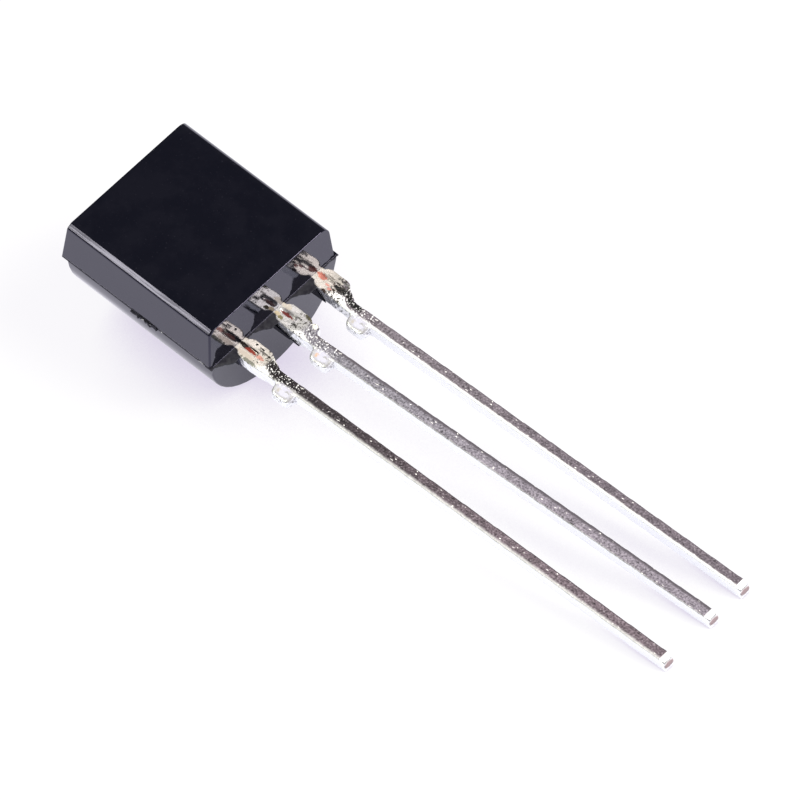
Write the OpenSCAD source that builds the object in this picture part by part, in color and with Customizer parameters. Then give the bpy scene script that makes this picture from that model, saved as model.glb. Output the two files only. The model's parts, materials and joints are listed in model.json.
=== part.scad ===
// TO-92 transistor: a black epoxy moulding with a flat face, a round back and three tinned leads in a row.
// It lies on its round back, flat face up, with the lead tips touching the table.
// Part axes before it is laid down: X along the leads, Y across them from pin 1 to pin 3,
// Z out of the flat face, and the parting plane of the mould at z = 0.

/* [Moulding] */
// Length of the moulding, along the leads
body_length = 4.64; // [4.4:0.02:5.2]
// Width of the front half at the parting plane
front_width = 4.13; // [4.05:0.01:5.0]
// Width of the back half at the parting plane
back_width = 4.11; // [4.05:0.01:5.0]
// How far the mould's back half sits off its front half, towards pin 3
mould_offset = 0.1; // [0:0.01:0.12]
// Depth of the front half, from the parting plane to the flat face
front_depth = 1.2; // [0.9:0.05:1.5]
// How far the end faces of the back half are stepped in from the front half at the parting plane
back_step = 0.03; // [0.01:0.01:0.08]
// Height of the straight walls of the back half, from the parting plane to its round part
back_straight = 0.21; // [0.1:0.01:0.4]
// Width of the narrow land along the lowest line of the round back, on which the part lies
back_land = 0.3; // [0.2:0.02:0.5]
// Draft of the pin 1 side wall of the front half, in degrees
pin1_draft = 7; // [2:0.1:9]
// Draft of the pin 3 side wall of the front half, in degrees
pin3_draft = 2.6; // [2:0.1:9]
// Draft of the front half's end face on the side of the leads, in degrees
lead_end_draft = 3.8; // [2:0.1:8]
// Draft of the front half's far end face, in degrees
far_end_draft = 6.4; // [2:0.1:8]
// Draft of the two end faces of the back half, in degrees
back_end_draft = 2; // [0.5:0.5:5]
// Width of the bevel along the pin 1 side of the flat face
pin1_bevel_width = 0.125; // [0.05:0.005:0.25]
// Depth of the bevel along the pin 1 side of the flat face
pin1_bevel_depth = 0.095; // [0.05:0.005:0.25]
// Width of the bevel along the pin 3 side of the flat face
pin3_bevel_width = 0.16; // [0.05:0.01:0.25]
// Depth of the bevel along the pin 3 side of the flat face
pin3_bevel_depth = 0.2; // [0.05:0.01:0.25]
// Diameter of the ejector pin mark on the round back
ejector_diameter = 1.1; // [0.6:0.1:1.6]
// Depth of the ejector pin mark at the middle of the back
ejector_depth = 0.1; // [0.08:0.01:0.2]

/* [Mould flash and gate] */
// How far the thin flash at the parting plane stands out of the end face on the side of the leads
flash_reach = 0.04; // [0.02:0.01:0.08]
// Thickness of the flash
flash_thickness = 0.04; // [0.03:0.01:0.08]
// How far the fan of flash on the pin 1 side of each lead runs out along it
flash_fan_reach = 0.27; // [0.1:0.01:0.4]
// Width of that fan, from the middle of the lead
flash_fan_width = 0.9; // [0.7:0.01:1.0]
// Thickness of the epoxy that crept out along the pin 1 side of each lead
creep_thickness = 0.07; // [0.04:0.01:0.1]
// Length of the creep on the emitter lead
emitter_creep_length = 0.3; // [0.1:0.05:1]
// Length of the creep on the base lead
base_creep_length = 0.9; // [0.1:0.05:1.2]
// Length of the creep on the collector lead
collector_creep_length = 0.55; // [0.1:0.05:1]
// How far below the parting plane the creep on the base lead begins
base_creep_top = 0.2; // [0.06:0.02:0.3]
// Length of the broken gate stub, along the side wall
gate_length = 0.8; // [0.5:0.05:1.2]
// Height of the gate stub
gate_height = 0.12; // [0.08:0.02:0.3]
// How far the gate stub stands out of the wall
gate_reach = 0.04; // [0.03:0.01:0.12]
// Distance of the gate stub's middle from the lead end of the moulding
gate_position = 2.05; // [1.2:0.05:3.0]

/* [Leads] */
// Pitch of the leads where they leave the moulding
lead_pitch = 1.27; // [1.2:0.01:1.35]
// How far the row of leads sits off the middle of the front half, towards pin 3
lead_row_offset = 0.205; // [0:0.005:0.25]
// Length of the leads outside the moulding
lead_length = 12.85; // [8:0.05:16]
// Width of a lead below its root
lead_width = 0.3; // [0.26:0.01:0.4]
// Thickness of the lead strip
lead_thickness = 0.36; // [0.3:0.01:0.45]
// Width of a lead where it leaves the moulding
exit_width = 0.38; // [0.3:0.01:0.5]
// Width of the root pad, just outside the moulding
root_width = 0.58; // [0.5:0.01:0.7]
// Distance from the moulding to the start of the root pad
root_start = 0.06; // [0.02:0.01:0.15]
// Distance from the moulding to the end of the root pad
root_end = 0.88; // [0.7:0.02:1.2]
// Corner radius of the root pad
root_radius = 0.2; // [0.1:0.01:0.24]
// Distance from the moulding to the end of the taper below the root pad
neck_end = 1.2; // [1.0:0.02:1.3]
// How far the emitter lead is shifted towards pin 1 below its root
emitter_shift = 0.09; // [0:0.01:0.2]
// How far the base lead is shifted towards pin 1 below its root
base_shift = 0.11; // [0:0.01:0.2]
// How far the collector lead is shifted towards pin 1 below its root
collector_shift = 0.16; // [0:0.01:0.2]
// Distance from the moulding to the start of the groove pressed into the top of the root pad
groove_start = 0.08; // [0.06:0.01:0.2]
// Length of that groove
groove_length = 0.46; // [0.3:0.02:0.6]
// Width of that groove
groove_width = 0.13; // [0.06:0.01:0.2]
// Depth of that groove
groove_depth = 0.05; // [0.02:0.01:0.1]
// Distance from the moulding to the middle of the cut dambar stub
stub_position = 1.62; // [1.5:0.02:2.2]
// Length of the dambar stub, along the lead
stub_length = 0.56; // [0.3:0.02:0.8]
// How far the dambar stub sticks out on the pin 1 side of a lead
stub_reach = 0.26; // [0.1:0.02:0.4]
// How far the cut pressed the end of the stub down
stub_drop = 0.12; // [0:0.02:0.2]
// Corner radius of the stub
stub_radius = 0.13; // [0.05:0.01:0.14]
// Distance from the moulding to the round burr on the pin 3 side of the base lead
burr_position = 1.0; // [0.8:0.02:1.2]
// Radius of that burr
burr_radius = 0.12; // [0.05:0.01:0.15]
// Radius of the rolled top edge at a lead's tip
tip_roll = 0.2; // [0.05:0.01:0.25]
// Lean of the emitter lead towards pin 3, in degrees
emitter_lean_angle = 1.3; // [-2:0.1:2]
// Lean of the base lead towards pin 3, in degrees
base_lean_angle = 2.5; // [-3:0.1:3]
// Lean of the collector lead towards pin 3, in degrees
collector_lean_angle = 1.6; // [-2:0.1:2]

/* [Inside the moulding] */
// Width of the lead strip inside the moulding
inner_width = 0.5; // [0.4:0.02:0.56]
// Width of a bond post, across the leads
post_width = 0.74; // [0.6:0.02:0.8]
// Length of a bond post, along the leads
post_length = 0.6; // [0.4:0.05:0.7]
// Distance from the lead end of the moulding to the base post
base_post_start = 0.75; // [0.5:0.05:0.9]
// Distance from the lead end of the moulding to the emitter post
emitter_post_start = 1.05; // [0.8:0.05:1.2]
// Distance from the lead end of the moulding to the paddle
paddle_start = 1.9; // [1.85:0.05:2.1]
// Length of the paddle, along the leads
paddle_length = 1.4; // [1.1:0.05:1.6]
// Reach of the paddle from the collector strip's middle towards pin 1
paddle_reach = 1.95; // [1.7:0.05:2.2]
// Diameter of the hole that locks the collector strip in the epoxy
lock_hole = 0.22; // [0.14:0.02:0.26]
// Side of the square chip
die_side = 0.42; // [0.3:0.02:0.5]
// Thickness of the chip
die_thickness = 0.2; // [0.1:0.01:0.28]
// Thickness of the solder under the chip
attach_thickness = 0.025; // [0.015:0.005:0.05]
// How far the solder shows round the chip
attach_margin = 0.05; // [0.02:0.01:0.1]
// Distance between the two bond pads on the chip
die_pad_pitch = 0.2; // [0.14:0.01:0.24]
// Diameter of the bond wires
wire_diameter = 0.036; // [0.03:0.002:0.05]
// Height of the wire loops above the line between their ends
loop_height = 0.22; // [0.15:0.01:0.3]
// Diameter of the ball bond on the chip
ball_diameter = 0.09; // [0.07:0.01:0.12]
// Thickness of the ball bond
ball_thickness = 0.04; // [0.03:0.01:0.05]

/* [Hidden] */
$fn = 64;

// Small overlap that lets a cut run past a face
over = 1;
// How deep the roots of the flash and of the gate stub lie in the moulding
sink = 0.15;
// Sides of the thin bond wires
wire_sides = 12;

half_width = front_width / 2;
back_radius = back_width / 2;
back_depth = back_straight + sqrt(back_radius * back_radius - back_land * back_land / 4);

// Rows of the leads: pin 1 is the emitter, pin 2 the base and pin 3 the collector
emitter_y = lead_row_offset - lead_pitch;
base_y = lead_row_offset;
collector_y = lead_row_offset + lead_pitch;

// Side view of the rest pose: the back half's lower edge at the lead end and the lead tips are on the table
back_edge_x = -back_step - back_depth * tan(back_end_draft);
rest_tilt = atan((back_depth - lead_thickness) / (lead_length - back_edge_x));
back_far_x = -body_length - back_edge_x;
rest_low = lead_length * sin(rest_tilt) + lead_thickness * cos(rest_tilt);
rest_far_x = min(
    back_far_x * cos(rest_tilt) - back_depth * sin(rest_tilt),
    -body_length * cos(rest_tilt)
);
rest_near_x = (lead_length - tip_roll) * cos(rest_tilt) - tip_roll * sin(rest_tilt) + tip_roll;
rest_pin1_y = -half_width - gate_reach;
rest_pin3_y = max(half_width, mould_offset + back_radius);

// Inside the moulding
strip_start = paddle_start + paddle_length;
paddle_pin1_y = collector_y - paddle_reach;
paddle_pin3_y = collector_y + inner_width / 2;
die_x = -paddle_start - paddle_length / 2;
die_y = (paddle_pin1_y + paddle_pin3_y) / 2;
die_base_z = attach_thickness;
die_top_z = die_base_z + die_thickness;
emitter_pad = [die_x, die_y - die_pad_pitch / 2];
base_pad = [die_x, die_y + die_pad_pitch / 2];
emitter_foot = [-emitter_post_start - post_length / 2, emitter_y];
base_foot = [-base_post_start - post_length / 2, base_y];

// Lays the part down in its rest pose, with the middle of its box over the origin
module laid_down() {
    translate([-(rest_far_x + rest_near_x) / 2, -(rest_pin1_y + rest_pin3_y) / 2, rest_low])
        rotate([0, rest_tilt, 0])
            children();
}

// Runs a section drawn across the part, as [y, z], from one x to another
module along_x(from_x, to_x) {
    translate([from_x, 0, 0])
        rotate([90, 0, 90])
            linear_extrude(to_x - from_x)
                children();
}

// Runs a side view, drawn as [x, z], across the part from one y to another
module along_y(from_y, to_y) {
    translate([0, to_y, 0])
        rotate([90, 0, 0])
            linear_extrude(to_y - from_y)
                children();
}

// Front half: a drafted section with two bevels, between two drafted end faces
module front_half() {
    pin1_wall_y = -half_width + (front_depth - pin1_bevel_depth) * tan(pin1_draft);
    pin3_wall_y = half_width - (front_depth - pin3_bevel_depth) * tan(pin3_draft);
    intersection() {
        along_x(-body_length, 0)
            polygon([
                [-half_width, 0],
                [half_width, 0],
                [pin3_wall_y, front_depth - pin3_bevel_depth],
                [pin3_wall_y - pin3_bevel_width, front_depth],
                [pin1_wall_y + pin1_bevel_width, front_depth],
                [pin1_wall_y, front_depth - pin1_bevel_depth]
            ]);
        along_y(-half_width, half_width)
            polygon([
                [-body_length, 0],
                [0, 0],
                [-front_depth * tan(lead_end_draft), front_depth],
                [front_depth * tan(far_end_draft) - body_length, front_depth]
            ]);
    }
}

// Back half: two short straight walls and a half round with its land, between two drafted end faces
module back_half() {
    intersection() {
        along_x(-body_length, 0)
            translate([mould_offset, 0]) {
                translate([-back_radius, -back_straight])
                    square([back_width, back_straight]);
                intersection() {
                    translate([0, -back_straight])
                        circle(back_radius);
                    translate([-back_radius, -back_depth])
                        square([back_width, back_depth - back_straight]);
                }
            }
        along_y(mould_offset - back_radius, mould_offset + back_radius)
            polygon([
                [-body_length + back_step, 0],
                [back_far_x, -back_depth],
                [back_edge_x, -back_depth],
                [-back_step, 0]
            ]);
    }
}

// Thin flash that the mould left along the parting plane at the lead end, drawn from above,
// with a fan on the pin 1 side of each lead
module flash_outline() {
    pin1_y = min(-half_width, mould_offset - back_radius);
    translate([-sink, pin1_y])
        square([sink + flash_reach, rest_pin3_y - pin1_y]);
    for (y = [emitter_y, base_y, collector_y])
        translate([0, y])
            polygon([
                [-back_step, -exit_width / 2],
                [-back_step, -flash_fan_width],
                [flash_reach, -flash_fan_width],
                [flash_fan_reach * 0.6, -flash_fan_width * 0.73],
                [flash_fan_reach, -flash_fan_width * 0.58],
                [flash_fan_reach, -exit_width / 2]
            ]);
}

// Epoxy that crept out along the pin 1 side of the lead at y, thinning towards the lead's lower edge
module creep(y, top, length) {
    intersection() {
        along_y(y - root_width / 2 - creep_thickness, y - exit_width / 2)
            polygon([
                [-over, -top],
                [length / 4, -top],
                [length, -lead_thickness],
                [-over, -lead_thickness]
            ]);
        translate([0, y, -lead_thickness])
            linear_extrude(lead_thickness)
                polygon([
                    [-over, -exit_width / 2],
                    [-over, -root_width / 2 - creep_thickness],
                    [length, -root_width / 2 - creep_thickness / 3],
                    [length, -exit_width / 2]
                ]);
    }
}

// Broken stub of the gate on the pin 1 side wall: a ridge with three uneven teeth
module gate_stub() {
    tooth = gate_length / 3;
    low_reach = [1, 0.6, 1];
    high_reach = [0.8, 0.8, 0.5];
    shoulder = [0.4, 0.6, 0.6];
    translate([-gate_position - gate_length / 2, -half_width, -gate_height / 2])
        for (i = [0:2])
            translate([i * tooth, 0, 0])
                along_x(0, tooth)
                    polygon([
                        [sink, -gate_height / 2],
                        [-gate_reach * low_reach[i], 0],
                        [-gate_reach * high_reach[i], gate_height * shoulder[i]],
                        [sink, gate_height]
                    ]);
}

// Shallow flat that the ejector pin left on the round back
module ejector_mark() {
    translate([-body_length / 2, mould_offset, -back_depth - over + ejector_depth])
        cylinder(h = over, d = ejector_diameter);
}

// The whole moulding before the cavities of its inner pieces are cut
module moulding() {
    difference() {
        union() {
            front_half();
            back_half();
            translate([0, 0, -flash_thickness])
                linear_extrude(flash_thickness)
                    flash_outline();
            gate_stub();
            creep(emitter_y, 0, emitter_creep_length);
            creep(base_y, base_creep_top, base_creep_length);
            creep(collector_y, 0, collector_creep_length);
        }
        ejector_mark();
    }
}

// Outline of a lead outside the moulding, from above, with its row at y = 0
module outer_outline(shift, lean_angle) {
    tip_y = -shift + (lead_length - neck_end) * tan(lean_angle);
    translate([-over, -exit_width / 2])
        square([over + root_end / 2, exit_width]);
    translate([root_start + root_radius, -root_width / 2])
        square([root_end - root_start - 2 * root_radius, root_width]);
    translate([root_start, -root_width / 2 + root_radius])
        square([root_end - root_start, root_width - 2 * root_radius]);
    for (x = [root_start + root_radius, root_end - root_radius])
        for (side = [-1, 1])
            translate([x, side * (root_width / 2 - root_radius)])
                circle(root_radius);
    polygon([
        [root_end - root_radius, -root_width / 2],
        [neck_end, -shift - lead_width / 2],
        [lead_length, tip_y - lead_width / 2],
        [lead_length, tip_y + lead_width / 2],
        [neck_end, -shift + lead_width / 2],
        [root_end - root_radius, root_width / 2]
    ]);
}

// Side view of a lead: a plain strip whose top edge is rolled over at the tip
module lead_side_view() {
    difference() {
        translate([-body_length, -lead_thickness])
            square([body_length + lead_length, lead_thickness]);
        difference() {
            translate([lead_length - tip_roll, -tip_roll])
                square(tip_roll + over);
            translate([lead_length - tip_roll, -tip_roll])
                circle(tip_roll);
        }
    }
}

// Cut stub of the dambar on the pin 1 side of a lead, pressed down at its end
module dambar_stub(shift, lean_angle) {
    root_y = -shift + (stub_position - neck_end) * tan(lean_angle);
    end_y = root_y - lead_width / 2 - stub_reach;
    intersection() {
        along_x(stub_position - stub_length / 2, stub_position + stub_length / 2)
            polygon([
                [root_y, -lead_thickness],
                [root_y, 0],
                [root_y - lead_width / 2, 0],
                [end_y, -stub_drop],
                [end_y, -lead_thickness]
            ]);
        translate([stub_position - stub_length / 2, end_y, -lead_thickness])
            linear_extrude(lead_thickness) {
                translate([stub_radius, 0])
                    square([stub_length - 2 * stub_radius, root_y - end_y]);
                translate([0, stub_radius])
                    square([stub_length, root_y - end_y - stub_radius]);
                for (x = [stub_radius, stub_length - stub_radius])
                    translate([x, stub_radius])
                        circle(stub_radius);
            }
    }
}

// Groove pressed into the top of the root pad, with round ends
module root_groove() {
    middle = groove_start + groove_length / 2;
    reach = (groove_length - groove_width) / 2;
    translate([middle, 0, -groove_depth])
        linear_extrude(groove_depth + over) {
            translate([-reach, -groove_width / 2])
                square([2 * reach, groove_width]);
            for (x = [-reach, reach])
                translate([x, 0])
                    circle(d = groove_width);
        }
}

// A stamped lead: the inner outline given as children, drawn from above in the part's own axes,
// joined to the outer lead of the row at y
module lead(y, shift, lean_angle) {
    difference() {
        union() {
            intersection() {
                translate([0, 0, -lead_thickness])
                    linear_extrude(lead_thickness) {
                        translate([0, y])
                            intersection() {
                                outer_outline(shift, lean_angle);
                                translate([0, -front_width])
                                    square([lead_length, 2 * front_width]);
                            }
                        children();
                    }
                along_y(-front_width, front_width)
                    lead_side_view();
            }
            translate([0, y, 0])
                dambar_stub(shift, lean_angle);
        }
        translate([0, y, 0])
            root_groove();
    }
}

// Inner end of a lead with a wide bond post, from above
module post_outline(y, start) {
    translate([-start - post_length / 2, y - exit_width / 2])
        square([start + post_length / 2, exit_width]);
    translate([-start - post_length, y - post_width / 2])
        square([post_length, post_width]);
}

// Inner end of the collector lead with the paddle for the chip, from above
module paddle_outline() {
    difference() {
        union() {
            translate([-paddle_start, collector_y - exit_width / 2])
                square([paddle_start, exit_width]);
            translate([-strip_start, collector_y - inner_width / 2])
                square([strip_start - root_end, inner_width]);
            translate([-strip_start, paddle_pin1_y])
                square([paddle_length, paddle_pin3_y - paddle_pin1_y]);
        }
        translate([-(root_end + paddle_start) / 2, collector_y])
            circle(d = lock_hole);
    }
}

// A bond wire: a round loop from a ball on the chip to a foot on a post
module bond_wire(pad, foot) {
    start_z = die_top_z + ball_thickness / 2;
    foot_thickness = wire_diameter;
    end_z = foot_thickness / 2;
    span = norm(foot - pad);
    chord = norm([span, end_z - start_z]);
    slope = atan2(end_z - start_z, span);
    radius = (chord * chord / 4 + loop_height * loop_height) / (2 * loop_height);
    drop = radius - loop_height;
    half_angle = asin(chord / 2 / radius);
    middle_u = span / 2 + drop * sin(slope);
    middle_z = (start_z + end_z) / 2 - drop * cos(slope);
    translate([pad[0], pad[1], 0])
        rotate([0, 0, atan2(foot[1] - pad[1], foot[0] - pad[0])])
            translate([middle_u, 0, middle_z])
                rotate([90, 0, 0])
                    rotate([0, 0, 90 + slope - half_angle])
                        rotate_extrude(angle = 2 * half_angle)
                            translate([radius, 0])
                                circle(d = wire_diameter, $fn = wire_sides);
    translate([pad[0], pad[1], die_top_z])
        cylinder(h = ball_thickness, d = ball_diameter, $fn = wire_sides);
    translate([foot[0], foot[1], 0])
        cylinder(h = foot_thickness, d = ball_diameter, $fn = wire_sides);
}

module body() {
    color([0.09, 0.09, 0.12])
        laid_down()
            difference() {
                moulding();
                emitter_strip();
                base_strip();
                collector_strip();
                chip_solder();
                chip();
                bond_wire(emitter_pad, emitter_foot);
                bond_wire(base_pad, base_foot);
            }
}

module emitter_strip() {
    lead(emitter_y, emitter_shift, emitter_lean_angle)
        post_outline(emitter_y, emitter_post_start);
}

module base_strip() {
    lead(base_y, base_shift, base_lean_angle) {
        post_outline(base_y, base_post_start);
        translate([burr_position, base_y + root_width / 2 - burr_radius / 2 - base_shift])
            circle(burr_radius);
    }
}

module collector_strip() {
    lead(collector_y, collector_shift, collector_lean_angle)
        paddle_outline();
}

module chip_solder() {
    side = die_side + 2 * attach_margin;
    translate([die_x - side / 2, die_y - side / 2, 0])
        cube([side, side, attach_thickness]);
}

module chip() {
    translate([die_x - die_side / 2, die_y - die_side / 2, die_base_z])
        cube([die_side, die_side, die_thickness]);
}

module emitter_lead() {
    color([0.72, 0.72, 0.70])
        laid_down()
            emitter_strip();
}

module base_lead() {
    color([0.72, 0.72, 0.70])
        laid_down()
            base_strip();
}

module collector_lead() {
    color([0.72, 0.72, 0.70])
        laid_down()
            collector_strip();
}

module die_attach() {
    color([0.55, 0.56, 0.58])
        laid_down()
            chip_solder();
}

module die() {
    color([0.32, 0.34, 0.42])
        laid_down()
            chip();
}

module emitter_wire() {
    color([0.83, 0.66, 0.28])
        laid_down()
            bond_wire(emitter_pad, emitter_foot);
}

module base_wire() {
    color([0.83, 0.66, 0.28])
        laid_down()
            bond_wire(base_pad, base_foot);
}

body();
emitter_lead();
base_lead();
collector_lead();
die_attach();
die();
emitter_wire();
base_wire();
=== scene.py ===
"""Dressed TO-92 transistor at rest on its round back: moulding, three tinned leads, chip and bond wires."""

from __future__ import annotations

import json
import logging
import math
from dataclasses import dataclass
from enum import Enum
from typing import Optional, Union

import bmesh
import bpy
from mathutils import Euler, Matrix, Vector, noise


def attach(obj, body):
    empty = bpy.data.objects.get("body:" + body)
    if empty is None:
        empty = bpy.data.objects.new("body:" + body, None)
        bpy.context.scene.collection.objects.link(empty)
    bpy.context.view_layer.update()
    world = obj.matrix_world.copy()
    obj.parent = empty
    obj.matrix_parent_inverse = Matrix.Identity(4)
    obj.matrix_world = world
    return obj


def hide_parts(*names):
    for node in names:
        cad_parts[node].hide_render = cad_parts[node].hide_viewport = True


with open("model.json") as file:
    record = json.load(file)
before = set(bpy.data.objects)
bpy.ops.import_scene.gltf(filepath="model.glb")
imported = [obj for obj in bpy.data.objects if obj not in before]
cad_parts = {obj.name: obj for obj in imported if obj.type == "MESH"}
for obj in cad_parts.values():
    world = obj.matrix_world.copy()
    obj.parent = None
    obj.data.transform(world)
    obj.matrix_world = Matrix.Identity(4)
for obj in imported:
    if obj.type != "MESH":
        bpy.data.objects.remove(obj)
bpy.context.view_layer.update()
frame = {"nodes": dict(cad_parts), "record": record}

logging.basicConfig(level=logging.INFO, format="%(name)s: %(message)s")
log = logging.getLogger("transistor")

Colour = tuple[float, float, float]
Triple = tuple[float, float, float]
Span = tuple[float, float]
Socket = bpy.types.NodeSocket
Feed = Union[float, int, tuple, Vector, Socket]
Look = tuple[Feed, Feed, Feed]

MM = 0.001
FLAT_MIDDLE = (-2.29255, 0.02763, 1.2)  # middle of the flat face, in the part's own axes
WHITE = (1.0, 1.0, 1.0)


class Slot(Enum):
    """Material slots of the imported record."""

    EPOXY = "epoxy"
    TINNED_LEAD = "tinned_lead"
    SOLDER = "solder"
    SILICON = "silicon"
    BOND_WIRE = "bond_wire"


@dataclass(frozen=True)
class RestPose:
    """How the part's own axes lie in the shared frame.

    The part's own axes are in millimetres: x along the leads, y across them from pin 1 to pin 3 and
    z out of the flat face, from the parting plane at the lead end of the moulding.
    """

    tilt: float
    origin: Vector

    @classmethod
    def from_record(cls, record: dict, flat_middle: Triple) -> RestPose:
        """Reads the pose from the mount on the flat face.

        Args:
            record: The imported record.
            flat_middle: Middle of the flat face in the part's own axes, in millimetres.

        Returns:
            The pose of the part's own axes.
        """
        mount = next(m for m in record["mounts"] if m["name"] == "flat_front")
        tilt = math.atan2(mount["axis"][0], mount["axis"][2])
        turned = Matrix.Rotation(tilt, 3, "Y") @ Vector(flat_middle)
        return cls(tilt, Vector(mount["pos_m"]) - turned * MM)

    @property
    def to_frame(self) -> Matrix:
        """Matrix from the part's own axes, in millimetres, to the shared frame, in metres."""
        return Matrix.Translation(self.origin) @ Matrix.Rotation(self.tilt, 4, "Y") @ Matrix.Scale(MM, 4)

    @property
    def from_frame(self) -> Matrix:
        """Matrix from the shared frame to the part's own axes."""
        return self.to_frame.inverted()


# --- Wiring of materials ---------------------------------------------------------------------


class Mixing(Enum):
    """What a Mix node mixes: its data type, the first of its two inputs, and its output."""

    NUMBERS = ("FLOAT", 2, 0)
    COLOURS = ("RGBA", 6, 2)


class Graph:
    """A node tree that is being wired."""

    def __init__(self, tree: bpy.types.NodeTree) -> None:
        """Takes the tree to wire.

        Args:
            tree: A material's or a group's node tree.
        """
        self.tree = tree

    def node(self, kind: str, **settings: object) -> bpy.types.Node:
        """Adds a node.

        Args:
            kind: Blender's name of the node type, without its prefix.
            **settings: Properties of the node.

        Returns:
            The new node.
        """
        made = self.tree.nodes.new(f"ShaderNode{kind}")
        for name, value in settings.items():
            setattr(made, name, value)
        return made

    def feed(self, socket: Socket, value: Feed) -> None:
        """Links a socket to another, or sets it to a constant.

        Args:
            socket: The input.
            value: An output to link, or a constant.
        """
        if isinstance(value, Socket):
            self.tree.links.new(value, socket)
        elif socket.type == "RGBA":
            socket.default_value = (*value, 1.0)
        else:
            socket.default_value = value

    def call(self, group: bpy.types.NodeTree, **inputs: Feed) -> bpy.types.Node:
        """Adds a group with its own values.

        Args:
            group: The node group.
            **inputs: Values of its inputs, with spaces in their names written as underscores.

        Returns:
            The group's node.
        """
        made = self.node("Group", node_tree=group)
        for name, value in inputs.items():
            self.feed(made.inputs[name.replace("_", " ")], value)
        return made

    def maths(self, operation: str, *values: Feed, clamp: bool = False) -> Socket:
        """Adds a Math node.

        Args:
            operation: Blender's name of the operation.
            *values: Its inputs.
            clamp: Whether the result stays between 0 and 1.

        Returns:
            The result.
        """
        made = self.node("Math", operation=operation, use_clamp=clamp)
        for socket, value in zip(made.inputs, values):
            self.feed(socket, value)
        return made.outputs[0]

    def times(self, first: Feed, second: Feed) -> Socket:
        """Multiplies two numbers."""
        return self.maths("MULTIPLY", first, second)

    def plus(self, first: Feed, second: Feed) -> Socket:
        """Adds two numbers."""
        return self.maths("ADD", first, second)

    def vector(self, operation: str, *values: Feed) -> Socket:
        """Adds a Vector Math node.

        Args:
            operation: Blender's name of the operation.
            *values: Its inputs.

        Returns:
            The result, a number for a length and otherwise a vector.
        """
        made = self.node("VectorMath", operation=operation)
        for socket, value in zip(made.inputs, values):
            self.feed(socket, value)
        return made.outputs["Value" if operation == "LENGTH" else "Vector"]

    def split(self, place: Feed) -> tuple[Socket, ...]:
        """Splits a vector.

        Args:
            place: The vector.

        Returns:
            Its three numbers.
        """
        parts = self.node("SeparateXYZ")
        self.feed(parts.inputs[0], place)
        return tuple(parts.outputs)

    def ramp(self, value: Feed, start: Feed, end: Feed, low: Feed = 0.0, high: Feed = 1.0) -> Socket:
        """Adds a smooth step from one value to another.

        Args:
            value: What is measured.
            start: Where the step starts.
            end: Where it ends.
            low: Result before the step.
            high: Result after it.

        Returns:
            The result.
        """
        made = self.node("MapRange", interpolation_type="SMOOTHSTEP")
        names = ("Value", "From Min", "From Max", "To Min", "To Max")
        for name, given in zip(names, (value, start, end, low, high)):
            self.feed(made.inputs[name], given)
        return made.outputs["Result"]

    def fall(self, value: Feed, start: Feed, end: Feed) -> Socket:
        """Adds a smooth step down from 1 to 0."""
        return self.ramp(value, start, end, 1.0, 0.0)

    def _mixed(self, kind: Mixing, share: Feed, first: Feed, second: Feed) -> Socket:
        """Adds a Mix node.

        Args:
            kind: What it mixes.
            share: Share of the second.
            first: The first.
            second: The second.

        Returns:
            The mixture.
        """
        data_type, start, result = kind.value
        made = self.node("Mix", data_type=data_type)
        for place, value in zip((0, start, start + 1), (share, first, second)):
            self.feed(made.inputs[place], value)
        return made.outputs[result]

    def mix(self, share: Feed, first: Feed, second: Feed) -> Socket:
        """Mixes two colours, by the share of the second."""
        return self._mixed(Mixing.COLOURS, share, first, second)

    def blend(self, share: Feed, first: Feed, second: Feed) -> Socket:
        """Mixes two numbers, by the share of the second."""
        return self._mixed(Mixing.NUMBERS, share, first, second)

    def clouds(self, place: Feed, size: Feed, detail: float = 3.0, rough: float = 0.5) -> Socket:
        """Adds a noise texture.

        Args:
            place: Vector that it reads.
            size: Size of its spots, in the vector's units.
            detail: Finer layers.
            rough: Strength of the finer layers.

        Returns:
            The noise, about 0.5 on average.
        """
        made = self.node("TexNoise", noise_dimensions="3D")
        scale = self.maths("DIVIDE", 1.0, size) if isinstance(size, Socket) else 1.0 / size
        inputs = {"Vector": place, "Scale": scale, "Detail": detail, "Roughness": rough}
        for name, value in inputs.items():
            self.feed(made.inputs[name], value)
        return made.outputs["Fac"]


def new_group(name: str, inputs: dict[str, Feed], outputs: tuple[str, ...]) -> tuple[Graph, dict, dict]:
    """Starts a node group with named sockets.

    Args:
        name: Name of the group.
        inputs: Default value of each input. A triple makes a vector, and a number a value.
        outputs: Names of its outputs, which are all values.

    Returns:
        The graph to wire, its inputs by name, and the sockets that take its outputs.
    """
    tree = bpy.data.node_groups.new(name, "ShaderNodeTree")
    for label, value in inputs.items():
        kind = "NodeSocketFloat" if isinstance(value, (int, float)) else "NodeSocketVector"
        socket = tree.interface.new_socket(label, in_out="INPUT", socket_type=kind)
        socket.default_value = value
    for label in outputs:
        tree.interface.new_socket(label, in_out="OUTPUT", socket_type="NodeSocketFloat")
    entry = tree.nodes.new("NodeGroupInput")
    leave = tree.nodes.new("NodeGroupOutput")
    given = {label: entry.outputs[label] for label in inputs}
    taken = {label: leave.inputs[label] for label in outputs}
    return Graph(tree), given, taken


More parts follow.
